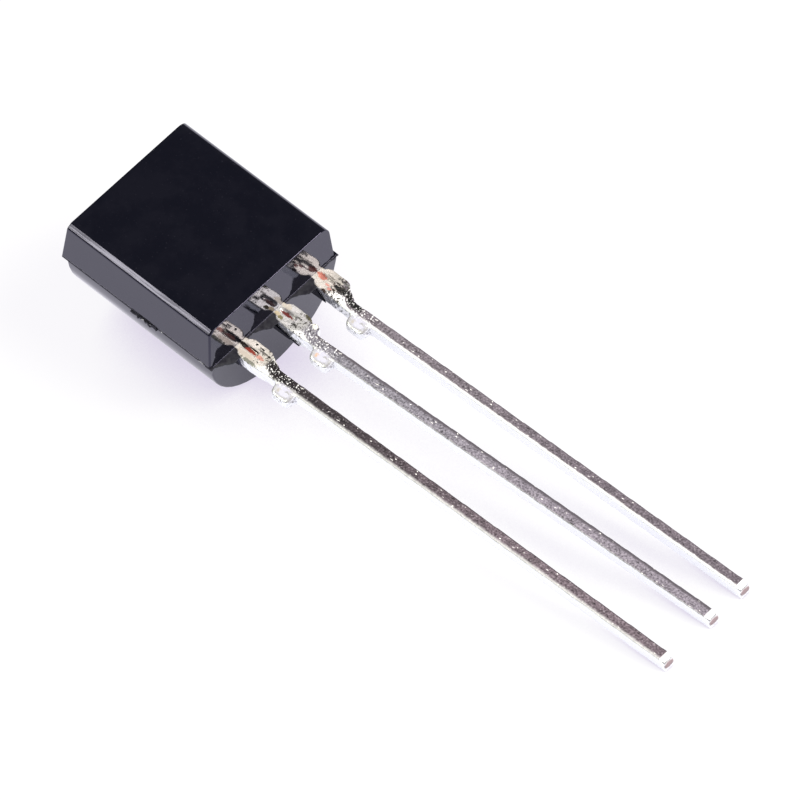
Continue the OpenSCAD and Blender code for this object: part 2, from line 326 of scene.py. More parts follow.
class Effects:
    """Shared surface effects, as node groups that read a place in millimetres."""

    HIGH_SPOTS: Span = (0.38, 0.62)  # noise at which the grain's mask starts and is full
    NO_COVER: float = 0.68  # noise past which specks start when they cover nothing
    COVER_STEP: float = 0.36  # how much lower they start when they cover all
    RAGGED_GAIN: float = 4.0  # how far the noise pushes the edge of a patch

    def __init__(self) -> None:
        """Builds each group once."""
        self.grain = self._grain()
        self.specks = self._specks()
        self.patch = self._patch()

    def _grain(self) -> bpy.types.NodeTree:
        """Builds the fine unevenness of a surface.

        Returns:
            A group with a height in millimetres and a mask of its high spots.
        """
        defaults = {"Place": (0.0, 0.0, 0.0), "Size": 0.1, "Depth": 0.01}
        graph, given, taken = new_group("grain", defaults, ("Height", "Mask"))
        coarse = graph.clouds(given["Place"], given["Size"], detail=4.0, rough=0.6)
        centred = graph.maths("SUBTRACT", coarse, 0.5)
        graph.feed(taken["Height"], graph.times(centred, given["Depth"]))
        graph.feed(taken["Mask"], graph.ramp(coarse, *self.HIGH_SPOTS))
        return graph.tree

    def _specks(self) -> bpy.types.NodeTree:
        """Builds scattered specks.

        Returns:
            A group with the mask of the specks.
        """
        defaults = {"Place": (0.0, 0.0, 0.0), "Size": 0.05, "Cover": 0.3, "Edge": 0.08}
        graph, given, taken = new_group("specks", defaults, ("Mask",))
        spots = graph.clouds(given["Place"], given["Size"], detail=2.0, rough=0.6)
        low = graph.maths("SUBTRACT", self.NO_COVER, graph.times(given["Cover"], self.COVER_STEP))
        high = graph.plus(low, given["Edge"])
        graph.feed(taken["Mask"], graph.ramp(spots, low, high))
        return graph.tree

    def _patch(self) -> bpy.types.NodeTree:
        """Builds one ragged patch of another finish.

        Returns:
            A group with the mask of the patch.
        """
        defaults = {"Place": (0.0, 0.0, 0.0), "Middle": (0.0, 0.0, 0.0), "Reach": (1.0, 1.0, 1.0)}
        defaults |= {"Ragged": 0.3, "Grain": 0.08, "Edge": 0.25}
        graph, given, taken = new_group("ragged_patch", defaults, ("Mask",))
        offset = graph.vector("SUBTRACT", given["Place"], given["Middle"])
        share = graph.vector("LENGTH", graph.vector("DIVIDE", offset, given["Reach"]))
        ragged = graph.clouds(given["Place"], given["Grain"], detail=3.0, rough=0.65)
        push = graph.times(graph.maths("SUBTRACT", ragged, 0.5), given["Ragged"])
        distance = graph.plus(share, graph.times(push, self.RAGGED_GAIN))
        start = graph.maths("SUBTRACT", 1.0, given["Edge"])
        graph.feed(taken["Mask"], graph.fall(distance, start, 1.0))
        return graph.tree


@dataclass(frozen=True)
class Palette:
    """What every finish needs to make its material."""

    effects: Effects
    pose: RestPose


@dataclass(frozen=True)
class Grain:
    """Unevenness of a surface: the size of its spots and its depth, in millimetres."""

    size: float
    depth: float = 1.0


@dataclass(frozen=True)
class Specks:
    """Scattered specks: their size in millimetres, the share they cover and how soft their edges are."""

    size: float
    cover: float
    edge: float = 0.08


@dataclass(frozen=True)
class Patch:
    """A ragged patch of another finish, placed in the material's own place."""

    middle: Triple
    reach: Triple
    colour: Colour
    roughness: float = 0.5
    metallic: float = 0.0
    ragged: float = 0.2
    grain: float = 0.06
    edge: float = 0.3
    cover: float = 1.0


class Surface(Graph):
    """The material of a piece while it is wired, read in the part's own axes."""

    def __init__(self, name: str, palette: Palette, across: float = 0.0) -> None:
        """Starts the material.

        Args:
            name: Name of the material.
            palette: The shared effects, and how the part's own axes lie in the frame.
            across: How far across the part its place is counted from, in millimetres.
        """
        self.effects = palette.effects
        self.material = bpy.data.materials.new(name)
        self.material.use_nodes = True
        super().__init__(self.material.node_tree)
        self.shader = self.tree.nodes["Principled BSDF"]
        mapping = self.node("Mapping", vector_type="TEXTURE")
        self.feed(mapping.inputs["Vector"], self.node("TexCoord").outputs["Object"])
        self.feed(mapping.inputs["Location"], palette.pose.to_frame @ Vector((0.0, across, 0.0)))
        self.feed(mapping.inputs["Rotation"], Euler((0.0, palette.pose.tilt, 0.0)))
        self.feed(mapping.inputs["Scale"], (MM, MM, MM))
        self.place = mapping.outputs["Vector"]
        self.axes = self.split(self.place)

    def grain(self, grain: Grain, place: Optional[Socket] = None) -> tuple[Socket, Socket]:
        """Adds unevenness.

        Args:
            grain: Its size and depth.
            place: Where it is read, which is the surface's own place where none is given.

        Returns:
            Its height in millimetres, and the mask of its high spots.
        """
        read = self.place if place is None else place
        made = self.call(self.effects.grain, Place=read, Size=grain.size, Depth=grain.depth)
        return made.outputs["Height"], made.outputs["Mask"]

    def specks(self, specks: Specks, place: Optional[Socket] = None) -> Socket:
        """Adds scattered specks.

        Args:
            specks: Their size, cover and edge.
            place: Where they are read, which is the surface's own place where none is given.

        Returns:
            Their mask.
        """
        read = self.place if place is None else place
        given = {"Place": read, "Size": specks.size, "Cover": specks.cover, "Edge": specks.edge}
        return self.call(self.effects.specks, **given).outputs["Mask"]

    def drawn(self, share: float) -> Socket:
        """Gives the place with lengths along the part counted as a share, which draws a pattern out."""
        return self.vector("MULTIPLY", self.place, (share, 1.0, 1.0))

    def layer(self, patches: tuple[Patch, ...], look: Look) -> Look:
        """Lays ragged patches over a finish, each over the one before it.

        Args:
            patches: The patches.
            look: The colour, roughness and metallic share of the finish below them.

        Returns:
            The colour, roughness and metallic share with the patches.
        """
        colour, roughness, metallic = look
        for patch in patches:
            given = {"Place": self.place, "Middle": patch.middle, "Reach": patch.reach}
            given |= {"Ragged": patch.ragged, "Grain": patch.grain, "Edge": patch.edge}
            mask = self.times(self.call(self.effects.patch, **given).outputs["Mask"], patch.cover)
            colour = self.mix(mask, colour, patch.colour)
            roughness = self.blend(mask, roughness, patch.roughness)
            metallic = self.blend(mask, metallic, patch.metallic)
        return colour, roughness, metallic

    def finish(self, height: Feed, **inputs: Feed) -> bpy.types.Material:
        """Connects the surface values of the material.

        Args:
            height: Height of the surface, in millimetres.
            **inputs: Values of the shader's inputs, with spaces in their names written as underscores.

        Returns:
            The material.
        """
        bump = self.node("Bump")
        self.feed(bump.inputs["Height"], height)
        self.feed(bump.inputs["Distance"], MM)
        self.feed(self.shader.inputs["Normal"], bump.outputs["Normal"])
        for name, value in inputs.items():
            self.feed(self.shader.inputs[name.replace("_", " ")], value)
        return self.material


# --- Finishes --------------------------------------------------------------------------------


@dataclass(frozen=True)
class EpoxyFinish:
    """Black moulding compound: a dense smooth face with fine dust, rough and dull where it is broken.

    Places and sizes are in millimetres of the part's own axes.
    """

    colour: Colour = (0.0031, 0.0034, 0.0064)
    dusty: Colour = (0.012, 0.012, 0.018)
    broken: Colour = (0.008, 0.008, 0.009)
    flash: Colour = (0.017, 0.018, 0.018)
    sheen: Colour = (0.69, 0.66, 0.985)
    refraction: float = 1.61
    roughness: float = 0.05
    hazy_roughness: float = 0.08
    streak_roughness: float = 0.34
    broken_roughness: float = 0.7
    broken_height: float = -0.02
    fine: Grain = Grain(0.045, 0.0002)
    broad: Grain = Grain(0.7, 0.001)
    dust: Specks = Specks(0.06, 0.1)
    haze_cover: float = 0.2  # share of the dusty colour on the broad high spots
    wander: Grain = Grain(0.09, 0.12)  # how the seam and the edge of the flash stray
    mottle: Grain = Grain(0.14, 5.0)  # of the flash
    darkest: float = 0.2  # least share of the flash's colour in its mottle
    streaks: Grain = Grain(0.035)
    streak_draw: float = 0.04  # share that lengths along the part count for in the streaks
    edge_blur: float = 0.02
    seam_width: float = 0.07
    seam_side: float = -1.97  # the seam shows past it, towards pin 1
    bevel_start: float = 1.1  # the bevel lies above it
    bevel_side: float = -1.82  # and past it, towards pin 1
    flash_edge: Span = (0.06, 0.09)  # height at which the flash fades and ends
    patches: tuple[Patch, ...] = (
        # Pale and grey chips along the seam and on the gate stub.
        Patch((-2.07, -2.10, -0.04), (0.05, 0.06, 0.035), (0.75, 0.75, 0.80), 0.4, ragged=0.5),
        Patch((-1.84, -2.10, 0.0), (0.03, 0.06, 0.02), (0.25, 0.25, 0.28), 0.4, ragged=0.5),
        Patch((-1.50, -2.06, 0.0), (0.03, 0.05, 0.03), (0.80, 0.80, 0.86), 0.4),
        Patch((-0.29, -2.06, 0.0), (0.10, 0.05, 0.025), (0.62, 0.62, 0.68), 0.4, ragged=0.4),
    )

    def _seam(self, surface: Surface, wander: Socket) -> Socket:
        """Marks the broken line that the mould left along the pin 1 side.

        Args:
            surface: The material.
            wander: How far the line strays, in millimetres.

        Returns:
            The mask of the line.
        """
        _, across, above = surface.axes
        level = surface.maths("ABSOLUTE", surface.plus(above, wander))
        line = surface.fall(level, self.seam_width * 0.5, self.seam_width)
        return surface.times(line, surface.fall(across, self.seam_side - self.edge_blur, self.seam_side))

    def _streaks(self, surface: Surface) -> Socket:
        """Marks the drawn streaks of the bevel on the pin 1 side.

        Args:
            surface: The material.

        Returns:
            The mask of the streaks.
        """
        _, across, above = surface.axes
        _, streaks = surface.grain(self.streaks, surface.drawn(self.streak_draw))
        upper = surface.ramp(above, self.bevel_start, self.bevel_start + self.edge_blur)
        side = surface.fall(across, self.bevel_side, self.bevel_side + self.edge_blur)
        return surface.times(streaks, surface.times(upper, side))

    def _flash(self, surface: Surface, wander: Socket) -> tuple[Socket, Socket]:
        """Marks the rough flash round the roots of the leads.

        Args:
            surface: The material.
            wander: How far its edge strays, in millimetres.

        Returns:
            How much of the surface is flash, and its mottled colour.
        """
        along, _, above = surface.axes
        level = surface.plus(surface.maths("ABSOLUTE", above), wander)
        flash = surface.times(surface.ramp(along, 0.0, self.edge_blur), surface.fall(level, *self.flash_edge))
        mottle, _ = surface.grain(self.mottle)
        tone = surface.maths("MAXIMUM", surface.plus(mottle, 1.0), self.darkest)
        return flash, surface.vector("MULTIPLY", self.flash, tone)

    def material(self, palette: Palette) -> bpy.types.Material:
        """Builds the material.

        Args:
            palette: What the finish needs to make it.

        Returns:
            The moulding compound.
        """
        surface = Surface("moulding_compound", palette)
        fine, _ = surface.grain(self.fine)
        broad, high_spots = surface.grain(self.broad)
        wander, _ = surface.grain(self.wander)
        haze = surface.maths("MAXIMUM", surface.times(high_spots, self.haze_cover), surface.specks(self.dust))
        colour = surface.mix(haze, self.colour, self.dusty)
        roughness = surface.blend(high_spots, self.roughness, self.hazy_roughness)
        roughness = surface.blend(self._streaks(surface), roughness, self.streak_roughness)
        seam = self._seam(surface, wander)
        colour = surface.mix(seam, colour, self.broken)
        flash, flash_tone = self._flash(surface, wander)
        colour = surface.mix(flash, colour, flash_tone)
        rough = surface.maths("MAXIMUM", seam, flash)
        roughness = surface.blend(rough, roughness, self.broken_roughness)
        colour, roughness, _ = surface.layer(self.patches, (colour, roughness, 0.0))
        height = surface.plus(surface.plus(fine, broad), surface.times(rough, self.broken_height))
        return surface.finish(
            height, Base_Color=colour, Roughness=roughness, IOR=self.refraction, Specular_Tint=self.sheen
        )


@dataclass(frozen=True)
class Stretch:
    """A stretch along a lead, in millimetres: where it starts, is full, fades and ends."""

    start: float
    full: float
    fading: float
    end: float

    def mask(self, surface: Surface) -> Socket:
        """Marks the stretch on a surface.

        Args:
            surface: The material.

        Returns:
            The mask of the stretch.
        """
        along = surface.axes[0]
        started = surface.ramp(along, self.start, self.full)
        return surface.times(started, surface.fall(along, self.fading, self.end))


@dataclass(frozen=True)
class TopShadeAndTarnish:
    """The dark top of one lead. It is mostly painted shade, standing in for the dim reflection that a shiny
    top shows, with some real tarnish and granular mottle. Its places are in millimetres of the lead.
    """

    root_tone: Colour
    tip_tone: Colour
    rim_tone: Colour
    near: Span  # across the lead, where the top's painted shade starts and is full; the ramp is painted shading of the rounded near edge
    mottle: float  # strength of its lighter and darker spots
    rim: Span = (0.10, 0.13)  # across the lead, where the rim's tone starts and is full
    fade: Span = (2.0, 9.0)  # along the lead, from the root's tone to the tip's
    end: Span = (12.64, 12.67)  # along the lead, where the painted shade and tarnish of the top end before the cut tip
    pale_tone: Colour = (0.34, 0.33, 0.36)
    pale: Specks = Specks(0.05, 0.3, 0.2)
    # Painted highlights: sparse white glints painted into the top's colour.
    painted_glints: Specks = Specks(0.06, 0.02, 0.04)
    painted_glint_draw: float = 0.4  # share that lengths along the lead count for in the painted glints
    fine: Grain = Grain(0.05)
    broad: Grain = Grain(0.3)
    fine_swing: float = 5.0
    broad_swing: float = 2.0
    darkest: float = 0.12  # least share of the colour in its mottle
    cover: float = 0.985
    roughness: float = 0.6
    metallic: float = 0.0
    specular: float = 0.0

    def tone(self, surface: Surface) -> Socket:
        """Mixes the colour of the top's painted shade and tarnish, from the root to the tip, with its mottle
        and its pale specks.

        Args:
            surface: The material.

        Returns:
            The colour.
        """
        tone = surface.mix(surface.ramp(surface.axes[0], *self.fade), self.root_tone, self.tip_tone)
        fine, _ = surface.grain(self.fine)
        broad, _ = surface.grain(self.broad)
        swing = surface.times(fine, self.mottle * self.fine_swing)
        swing = surface.plus(swing, surface.times(broad, self.mottle * self.broad_swing))
        level = surface.maths("MAXIMUM", surface.plus(swing, 1.0), self.darkest)
        tone = surface.vector("MULTIPLY", tone, level)
        return surface.mix(surface.specks(self.pale), tone, self.pale_tone)


@dataclass(frozen=True)
class TinFinish:
    """Tin plating of one lead: bright on its sides, painted darker on its top (painted shade with some real
    tarnish) and stained at its root.

    Places and sizes are in millimetres, along the lead from the moulding and across it from its middle.
    """

    name: str
    across: float  # where the middle of the root lies across the part
    shift: float  # how far the strip stands to the side of the root, towards pin 1
    lean: float  # angle at which the strip drifts towards pin 3, in radians
    # The top: painted shade, with some real tarnish.
    top_shade_and_tarnish: TopShadeAndTarnish
    patches: tuple[Patch, ...]
    pits: Specks = Specks(0.06, 0.3, 0.1)
    bright: Colour = (0.95, 0.965, 1.0)
    metallic: float = 0.8
    roughness: float = 0.2
    specular: float = 0.5
    fine: Grain = Grain(0.05, 0.002)
    wander: Grain = Grain(0.12, 0.05)
    crust: Grain = Grain(0.07, 0.012)
    crust_rise: Span = (0.3, 0.9)  # along the lead, where the crust of the root starts and is full
    pad: Stretch = Stretch(0.4, 0.6, 0.9, 1.1)
    pit_tone: Colour = (0.07, 0.065, 0.06)
    neck: Stretch = Stretch(0.75, 0.9, 1.7, 2.1)
    # Painted highlights: white glints painted on the top of the neck.
    neck_painted_glints: Specks = Specks(0.05, 0.3, 0.05)
    taper: Span = (0.88, 1.2)  # along the lead, from the root to the strip
    strip: Span = (1.1, 1.2)  # along the lead, where the rim of the top's painted shade starts and is full
    top_edge: Span = (-0.05, -0.015)  # height at which the side turns into the top

    def _straighten(self, surface: Surface) -> None:
        """Counts the place across from the lead's own middle line.

        Args:
            surface: The material, whose place is changed.
        """
        along, across, above = surface.axes
        drift = surface.ramp(along, *self.taper, 0.0, -self.shift)
        beyond = surface.maths("MAXIMUM", surface.maths("SUBTRACT", along, self.taper[1]), 0.0)
        drift = surface.plus(drift, surface.times(beyond, math.tan(self.lean)))
        straight = surface.maths("SUBTRACT", across, drift)
        joined = surface.node("CombineXYZ")
        for socket, value in zip(joined.inputs, (along, straight, above)):
            surface.feed(socket, value)
        surface.place = joined.outputs[0]
        surface.axes = (along, straight, above)

    def _shaded_top(self, surface: Surface) -> tuple[Socket, Socket]:
        """Works out the painted shade and tarnish on the top.

        Args:
            surface: The material.

        Returns:
            How much of the surface is top, and the top's colour.
        """
        shaded_top = self.top_shade_and_tarnish
        along, across, above = surface.axes
        wander, _ = surface.grain(self.wander)
        edge = surface.plus(across, wander)
        tone = shaded_top.tone(surface)
        rim = surface.times(surface.ramp(edge, *shaded_top.rim), surface.ramp(along, *self.strip))
        tone = surface.mix(rim, tone, shaded_top.rim_tone)
        # Painted highlights: white glints painted into the top's colour.
        tone = surface.mix(surface.specks(shaded_top.painted_glints, surface.drawn(shaded_top.painted_glint_draw)), tone, WHITE)
        share = surface.times(surface.ramp(edge, *shaded_top.near), shaded_top.cover)
        share = surface.times(share, surface.fall(along, *shaded_top.end))
        upper = surface.ramp(surface.plus(above, wander), *self.top_edge)
        return upper, surface.mix(share, self.bright, tone)

    def material(self, palette: Palette) -> bpy.types.Material:
        """Builds the material.

        Args:
            palette: What the finish needs to make it.

        Returns:
            The plating of this lead.
        """
        surface = Surface(self.name, palette, self.across)
        self._straighten(surface)
        top, tone = self._shaded_top(surface)
        # Painted shade: the top is painted darker than the bright sides to stand in for the dim reflection it
        # shows, with some real tarnish.
        colour = surface.mix(top, self.bright, tone)
        rough = surface.blend(top, self.roughness, self.top_shade_and_tarnish.roughness)
        metallic = surface.blend(top, self.metallic, self.top_shade_and_tarnish.metallic)
        colour, rough, metallic = surface.layer(self.patches, (colour, rough, metallic))
        pits = surface.times(surface.specks(self.pits), surface.times(self.pad.mask(surface), top))
        colour = surface.mix(pits, colour, self.pit_tone)
        # Painted highlights: white glints painted on the top of the neck.
        neck_painted_glints = surface.times(surface.specks(self.neck_painted_glints), surface.times(self.neck.mask(surface), top))
        colour = surface.mix(neck_painted_glints, colour, self.bright)
        along = surface.axes[0]
        near_root = surface.times(surface.fall(along, *self.taper), surface.ramp(along, *self.crust_rise))
        crust, _ = surface.grain(self.crust)
        fine, _ = surface.grain(self.fine)
        height = surface.plus(surface.times(crust, surface.times(near_root, top)), fine)
        return surface.finish(
            height,
            Base_Color=colour,
            Roughness=rough,
            Metallic=metallic,
            Specular_IOR_Level=surface.blend(top, self.specular, self.top_shade_and_tarnish.specular),
        )


@dataclass(frozen=True)
class InnerFinish:
    """Plain finish of a piece sealed in the moulding."""

    name: str
    colour: Colour
    worn: Colour
    roughness: float
    metallic: float
    grain: float
    relief: float = 0.05
    worn_rise: float = 0.12

    def material(self, palette: Palette) -> bpy.types.Material:
        """Builds the material.

        Args:
            palette: What the finish needs to make it.

        Returns:
            The finish.
        """
        surface = Surface(self.name, palette)
        height, high_spots = surface.grain(Grain(self.grain, self.grain * self.relief))
        colour = surface.mix(high_spots, self.colour, self.worn)
        roughness = surface.blend(high_spots, self.roughness, self.roughness + self.worn_rise)
        return surface.finish(height, Base_Color=colour, Roughness=roughness, Metallic=self.metallic)


def stub_patches(smudge: Colour = (0.50, 0.46, 0.42)) -> tuple[Patch, ...]:
    """Gives the finish of a lead's cut stub and of its cut tip.

    Args:
        smudge: Colour of the stain on the stub.

    Returns:
        The stub's grey outline, its face painted pale as a painted reflection of the bright floor, two stains
        on it, and the grey end of the tip.
    """
    dark = (0.36, 0.35, 0.35)
    return (
        Patch((1.62, -0.24, -0.12), (0.36, 0.19, 0.30), (0.42, 0.41, 0.46), 0.4, 0.3, ragged=0.35),
        # Painted reflection: the stub's face is painted pale lavender-white for the bright floor that it
        # mirrors.
        Patch((1.62, -0.22, -0.10), (0.30, 0.16, 0.30), (0.66, 0.66, 0.82), 0.4, 0.1, ragged=0.25, edge=0.5),
        Patch((1.50, -0.26, -0.05), (0.08, 0.07, 0.12), smudge, 0.4, 0.1, ragged=0.6, edge=0.7, cover=0.8),
        Patch((1.74, -0.20, -0.02), (0.10, 0.04, 0.08), dark, 0.4, 0.2, ragged=0.7, edge=0.7, cover=0.7),
        Patch((12.87, 0.0, -0.14), (0.09, 0.25, 0.13), (0.34, 0.26, 0.29), 0.5, 0.1, ragged=0.1, edge=0.4),
    )


EMITTER_TIN = TinFinish(
    "emitter_tin",
    across=-1.065,
    shift=0.09,
    lean=math.radians(1.3),
    top_shade_and_tarnish=TopShadeAndTarnish(
        root_tone=(0.028, 0.022, 0.028),
        tip_tone=(0.140, 0.110, 0.136),
        rim_tone=(0.055, 0.044, 0.056),
        near=(-0.18, -0.05),
        mottle=0.95,
    ),
    patches=(
        # Pale plating of the root, tan and stained towards pin 1.
        Patch((0.42, 0.00, 0.0), (0.54, 0.38, 0.11), (0.86, 0.82, 0.77), 0.26, 0.45, ragged=0.25),
        Patch((0.28, -0.17, 0.0), (0.30, 0.09, 0.09), (0.74, 0.67, 0.59), 0.35, 0.35, ragged=0.4),
        Patch((0.50, -0.25, 0.0), (0.26, 0.05, 0.07), (0.16, 0.17, 0.14), 0.5, 0.2, ragged=0.5, cover=0.85),
        # The pressed groove: dark, then bare copper with a dark edge.
        Patch((0.11, 0.01, -0.03), (0.19, 0.07, 0.09), (0.018, 0.014, 0.014), 0.6),
        Patch((0.33, 0.00, -0.03), (0.19, 0.06, 0.09), (0.24, 0.036, 0.022), 0.5, ragged=0.3),
        Patch((0.40, 0.06, -0.01), (0.18, 0.018, 0.09), (0.03, 0.02, 0.02), 0.5, ragged=0.4),
        Patch((0.63, -0.02, -0.02), (0.13, 0.06, 0.08), (0.74, 0.40, 0.34), 0.35, 0.3, ragged=0.4),
        # Dark pocks and a grey smear beside them.
        Patch((0.34, 0.20, 0.0), (0.035, 0.03, 0.08), (0.02, 0.02, 0.02), 0.6, ragged=0.5),
        Patch((0.52, 0.19, 0.0), (0.07, 0.025, 0.08), (0.02, 0.02, 0.02), 0.6, ragged=0.5),
        Patch((0.77, 0.13, 0.0), (0.05, 0.04, 0.08), (0.025, 0.022, 0.022), 0.6, ragged=0.5),
        Patch((0.60, 0.13, 0.0), (0.16, 0.03, 0.08), (0.20, 0.19, 0.18), 0.45, 0.4, ragged=0.6),
        # The dark neck, and the bright edge of the root before it.
        Patch((1.26, 0.02, 0.02), (0.54, 0.2, 0.1), (0.022, 0.019, 0.022), 0.4, 0.2, ragged=0.45, cover=0.9),
        Patch((0.92, 0.17, -0.01), (0.16, 0.035, 0.05), (0.85, 0.84, 0.80), 0.3, 0.5),
        *stub_patches(),
    ),
)
BASE_TIN = TinFinish(
    "base_tin",
    across=0.205,
    shift=0.11,
    lean=math.radians(2.5),
    top_shade_and_tarnish=TopShadeAndTarnish(
        root_tone=(0.20, 0.193, 0.235),
        tip_tone=(0.225, 0.203, 0.253),
        rim_tone=(0.09, 0.08, 0.10),
        near=(-0.18, -0.11),
        rim=(0.03, 0.10),
        mottle=0.85,
    ),
    pits=Specks(0.06, 0.4, 0.1),
    patches=(
        # Pale plating of the root, cream and tan at the moulding, with an olive spot.
        Patch((0.38, 0.02, 0.0), (0.52, 0.38, 0.11), (0.74, 0.74, 0.74), 0.26, 0.5, ragged=0.25),
        Patch((0.12, 0.15, 0.0), (0.18, 0.09, 0.09), (0.82, 0.77, 0.68), 0.35, 0.4),
        Patch((0.10, -0.14, 0.0), (0.10, 0.06, 0.08), (0.72, 0.62, 0.44), 0.4, 0.3),
        Patch((0.22, -0.18, 0.0), (0.08, 0.06, 0.08), (0.22, 0.20, 0.12), 0.5, ragged=0.4),
        # The pressed groove: bare copper with a dark edge, and copper on the side at the moulding.
        Patch((0.27, -0.01, -0.03), (0.22, 0.055, 0.09), (0.14, 0.024, 0.022), 0.5, ragged=0.3),
        Patch(
            (0.30, 0.05, -0.01), (0.17, 0.018, 0.09), (0.10, 0.06, 0.05), 0.5, ragged=0.7, edge=0.6, cover=0.7
        ),
        Patch((0.04, -0.29, -0.10), (0.10, 0.10, 0.14), (0.62, 0.17, 0.15), 0.4),
        # Dark smears, an olive side and the bright burr on it.
        Patch((0.60, -0.12, 0.0), (0.10, 0.05, 0.08), (0.05, 0.05, 0.05), 0.5, 0.2, ragged=0.8, edge=0.6),
        Patch(
            (0.56, 0.08, 0.0), (0.12, 0.03, 0.08), (0.16, 0.16, 0.15), 0.3, 0.4,
            ragged=0.8, edge=0.6, cover=0.7,
        ),
        Patch((0.76, 0.24, 0.0), (0.16, 0.07, 0.12), (0.10, 0.095, 0.06), 0.5, 0.2, ragged=0.5),
        Patch((0.98, 0.20, 0.0), (0.09, 0.09, 0.12), (0.95, 0.93, 0.88), 0.35, 0.2),
        *stub_patches((0.70, 0.44, 0.28)),
    ),
)
COLLECTOR_TIN = TinFinish(
    "collector_tin",
    across=1.475,
    shift=0.16,
    lean=math.radians(1.6),
    top_shade_and_tarnish=TopShadeAndTarnish(
        root_tone=(0.155, 0.136, 0.165),
        tip_tone=(0.130, 0.110, 0.138),
        rim_tone=(0.11, 0.095, 0.12),
        near=(-0.12, -0.06),
        mottle=0.8,
    ),
    pits=Specks(0.06, 0.55, 0.1),
    patches=(
        # Pale plating of the root.
        Patch((0.30, 0.02, 0.0), (0.42, 0.38, 0.11), (0.84, 0.80, 0.74), 0.26, 0.45, ragged=0.35),
        # Bare copper in the groove and beside it.
        Patch((0.15, 0.01, -0.02), (0.17, 0.08, 0.09), (0.52, 0.20, 0.16), 0.45, ragged=0.4),
        Patch((0.41, -0.09, 0.0), (0.07, 0.04, 0.08), (0.66, 0.34, 0.30), 0.4, ragged=0.5),
        Patch((0.52, -0.15, 0.0), (0.08, 0.04, 0.08), (0.60, 0.30, 0.27), 0.4, ragged=0.5),
        # Grey and dark smears, and the dark neck with its grey rim.
        Patch(
            (0.36, 0.12, 0.0), (0.14, 0.03, 0.08), (0.26, 0.23, 0.20), 0.4, 0.4,
            ragged=0.7, edge=0.6, cover=0.8,
        ),
        Patch((0.46, -0.26, 0.0), (0.09, 0.04, 0.08), (0.05, 0.035, 0.03), 0.5, ragged=0.5),
        Patch((0.62, -0.11, 0.0), (0.05, 0.03, 0.08), (0.05, 0.035, 0.03), 0.5, ragged=0.5),
        Patch((0.80, 0.00, 0.0), (0.36, 0.07, 0.10), (0.03, 0.03, 0.032), 0.35, 0.4, ragged=0.6, grain=0.09),
        Patch((1.15, 0.06, 0.0), (0.4, 0.1, 0.1), (0.025, 0.025, 0.028), 0.35, 0.4, ragged=0.5, grain=0.09),
        Patch((0.85, 0.20, 0.0), (0.30, 0.04, 0.08), (0.42, 0.42, 0.42), 0.35, 0.6, ragged=0.4),
        *stub_patches(),
    ),
)


# --- Pieces ----------------------------------------------------------------------------------


def add_object(name: str, data: bpy.types.ID) -> bpy.types.Object:
    """Adds an object to the scene.

    Args:
        name: Its name.
        data: Its mesh, light or camera.

    Returns:
        The object, at the origin.
    """
    made = bpy.data.objects.new(name, data)
    bpy.context.scene.collection.objects.link(made)
    return made


def add_mesh(name: str, bm: bmesh.types.BMesh) -> bpy.types.Object:
    """Turns a bmesh into an object.

    Args:
        name: Name of the object and of its mesh.
        bm: The shape, freed here.

    Returns:
        The object.
    """
    mesh = bpy.data.meshes.new(name)
    bm.to_mesh(mesh)
    bm.free()
    return add_object(name, mesh)


def own_copy(node: str, pose: RestPose, merge: float = 1e-4, flat_within: float = 0.6) -> bmesh.types.BMesh:
    """Copies a CAD node into the part's own axes, merged.

    Args:
        node: Name of the CAD node.
        pose: How the part's own axes lie in the frame.
        merge: Distance within which points are one, in millimetres.
        flat_within: Angle within which faces are one, in degrees.

    Returns:
        The copy, in millimetres.
    """
    bm = bmesh.new()
    bm.from_mesh(frame["nodes"][node].data)
    bm.transform(pose.from_frame)
    bmesh.ops.remove_doubles(bm, verts=bm.verts, dist=merge)
    angle = math.radians(flat_within)
    bmesh.ops.dissolve_limit(bm, angle_limit=angle, verts=bm.verts, edges=bm.edges, delimit=set())
    return bm


def evaluated(bm: bmesh.types.BMesh, kind: str, **settings: object) -> bmesh.types.BMesh:
    """Runs one modifier over a shape.

    Args:
        bm: The shape, freed here.
        kind: Blender's name of the modifier.
        **settings: Properties of the modifier.

    Returns:
        The shape that the modifier makes.
    """
    carrier = add_mesh("carrier", bm)
    mesh = carrier.data
    modifier = carrier.modifiers.new("carrier", kind)
    for name, value in settings.items():
        setattr(modifier, name, value)
    made = bmesh.new()
    made.from_object(carrier, bpy.context.evaluated_depsgraph_get())
    bpy.data.objects.remove(carrier)
    bpy.data.meshes.remove(mesh)
    return made


def settle(name: str, bm: bmesh.types.BMesh, pose: RestPose, sharp: float) -> bpy.types.Object:
    """Turns a finished bmesh into an object at the origin of the shared frame.

    Args:
        name: Name of the piece.
        bm: Its shape in the part's own axes, freed here.
        pose: How the part's own axes lie in the frame.
        sharp: Angle past which an edge stays sharp, in degrees.

    Returns:
        The object, riding on the part's one body.
    """
    bm.transform(pose.to_frame)
    for face in bm.faces:
        face.smooth = True
    for edge in bm.edges:
        edge.smooth = edge.is_manifold and edge.calc_face_angle(0.0) < math.radians(sharp)
    piece = add_mesh(name, bm)
    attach(piece, "root")
    return piece


def dress(piece: bpy.types.Object, material: bpy.types.Material) -> None:
    """Gives a piece its one material.

    Args:
        piece: The piece.
        material: Its material.
    """
    piece.data.materials.clear()
    piece.data.materials.append(material)


@dataclass(frozen=True)
class RaggedRim:
    """A thin rim that broke off unevenly.

    It lies at the parting plane, past a place along the part and short of a place across it. Its edges
    are cut up, and the new points are pushed by up to its reach.
    """

    along_from: float
    across_to: float
    half_height: float
    cuts: int
    reach: Triple

    def holds(self, point: Vector) -> bool:
        """Tells whether a point lies on the rim."""
        return point.x > self.along_from and point.y < self.across_to and abs(point.z) < self.half_height


